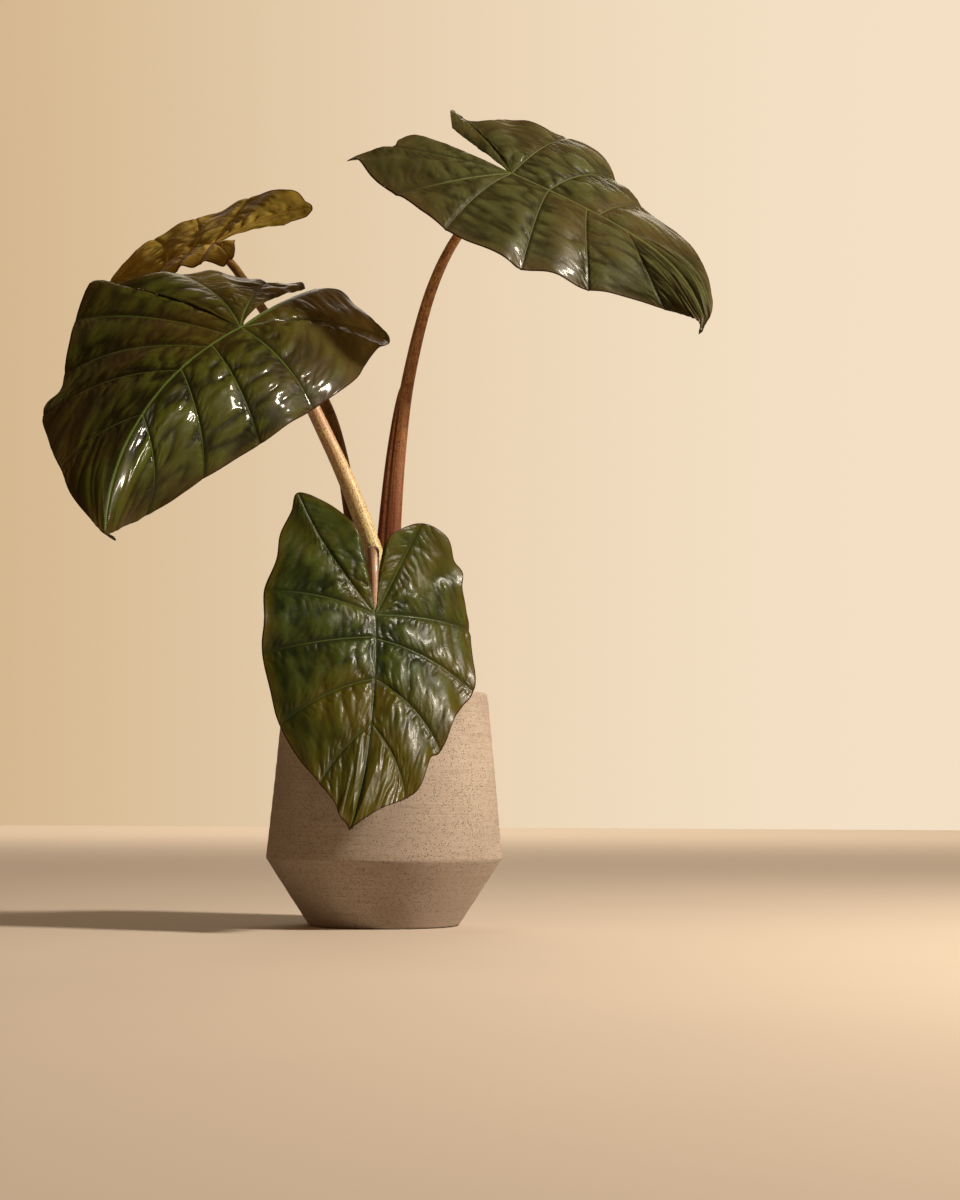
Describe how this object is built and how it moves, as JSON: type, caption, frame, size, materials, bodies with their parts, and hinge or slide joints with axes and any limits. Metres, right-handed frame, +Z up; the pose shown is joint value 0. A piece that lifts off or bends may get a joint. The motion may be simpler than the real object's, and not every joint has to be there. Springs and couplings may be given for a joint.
{
  "type": "potted alocasia plant",
  "caption": "House plant with large dark arrow-shaped leaves on long stalks, in a flared stoneware planter with a sharp shoulder.",
  "frame": {"origin": "centre of the pot's flat base, on the surface it stands on", "axes": "+X to the right and +Y to the back as the plant is seen from its front leaf's side, +Z up"},
  "size_m": [0.7146, 0.4715, 0.9004],
  "materials": {
    "stoneware": "matte unglazed stoneware with dark specks and fine brushed rows",
    "potting_mix": "moist peat and bark crumbs",
    "stem_base": "rough brown stem base with ring scars",
    "leaf": "waxy dark green leaf with lighter veins and a bronze sheen",
    "young_leaf": "glossy green leaf with pale green veins",
    "bronze_leaf": "satin olive bronze leaf with raised ribs",
    "red_stalk": "satin red-brown stalk with fine streaks",
    "green_stalk": "satin yellow-green stalk with dark speckles",
    "pink_stalk": "satin brown-pink stalk"
  },
  "bodies": {
    "root": {"pot": "stoneware", "soil": "potting_mix", "corm": "stem_base", "front_blade": "young_leaf", "left_blade": "leaf", "back_blade": "bronze_leaf", "right_blade": "leaf", "front_stalk": "pink_stalk", "left_stalk": "green_stalk", "back_stalk": "red_stalk", "right_stalk": "red_stalk"}
  },
  "joints": []
}
